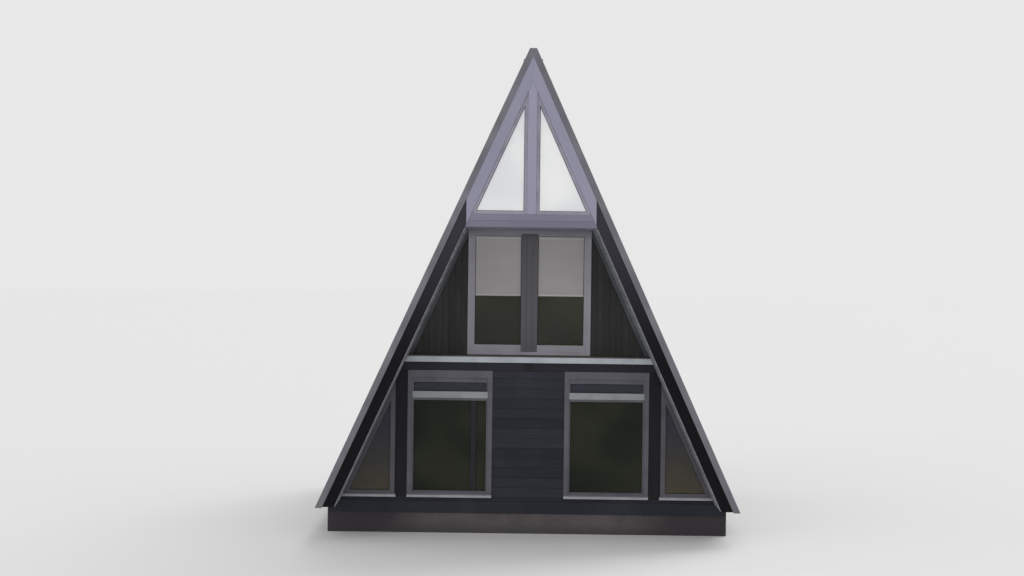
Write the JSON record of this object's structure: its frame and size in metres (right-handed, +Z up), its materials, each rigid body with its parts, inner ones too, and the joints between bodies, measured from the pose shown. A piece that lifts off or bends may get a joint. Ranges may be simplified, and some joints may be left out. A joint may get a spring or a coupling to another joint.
{
  "type": "a-frame cabin",
  "caption": "Tall a-frame timber cabin with a steep seamed roof, a set-back glazed front, an inset balcony and a flush triangular loft gable.",
  "frame": {"origin": "on the ground, at the middle of the roof's length and width", "axes": "+Z up, +X to the right as seen from the front, -Y out of the glazed front"},
  "size_m": [7.4894, 9, 8.7],
  "materials": {
    "plinth": "rendered block, weathered",
    "floor_timber": "planed boards",
    "dark_boards": "blue-black stained boards",
    "dark_trim": "black stained board",
    "roof_slab": "stained lining boards",
    "roof_metal": "grey coated sheet, satin",
    "trim_metal": "grey coated sheet, satin",
    "grey_boards": "grey stained boards",
    "frame_paint": "grey painted joinery, satin",
    "glass": "clear double glazing",
    "blind_fabric": "woven blind cloth",
    "door_leaf": "dark stained boarded door",
    "step_stone": "cast concrete, worn"
  },
  "bodies": {
    "root": {"front_plinth": "plinth", "back_plinth": "plinth", "left_plinth": "plinth", "right_plinth": "plinth", "ground_floor": "floor_timber", "upper_floor": "floor_timber", "loft_floor": "floor_timber", "rim_board": "dark_trim", "balcony_ledge": "trim_metal", "balcony_slope_trims": "trim_metal", "left_roof": "roof_slab", "right_roof": "roof_slab", "left_roof_covering": "roof_metal", "right_roof_covering": "roof_metal", "ridge_cap": "roof_metal", "front_left_verge_board": "dark_trim", "front_right_verge_board": "dark_trim", "front_left_verge_trim": "trim_metal", "front_right_verge_trim": "trim_metal", "back_left_verge_board": "dark_trim", "back_right_verge_board": "dark_trim", "back_left_verge_trim": "trim_metal", "back_right_verge_trim": "trim_metal", "front_lower_wall": "dark_boards", "front_upper_wall": "dark_boards", "front_gable": "grey_boards", "loft_beam": "grey_boards", "back_lower_wall": "dark_boards", "back_upper_wall": "dark_boards", "back_gable": "dark_boards", "front_left_window": "frame_paint", "front_right_window": "frame_paint", "front_left_corner_window": "frame_paint", "front_right_corner_window": "frame_paint", "balcony_doors": "frame_paint", "loft_windows": "frame_paint", "back_lower_windows": "frame_paint", "back_upper_windows": "frame_paint", "front_glass": "glass", "balcony_glass": "glass", "loft_glass": "glass", "back_glass": "glass", "roller_blinds": "blind_fabric", "entrance_door": "door_leaf", "entrance_frame": "frame_paint", "entrance_steps": "step_stone"}
  },
  "joints": []
}
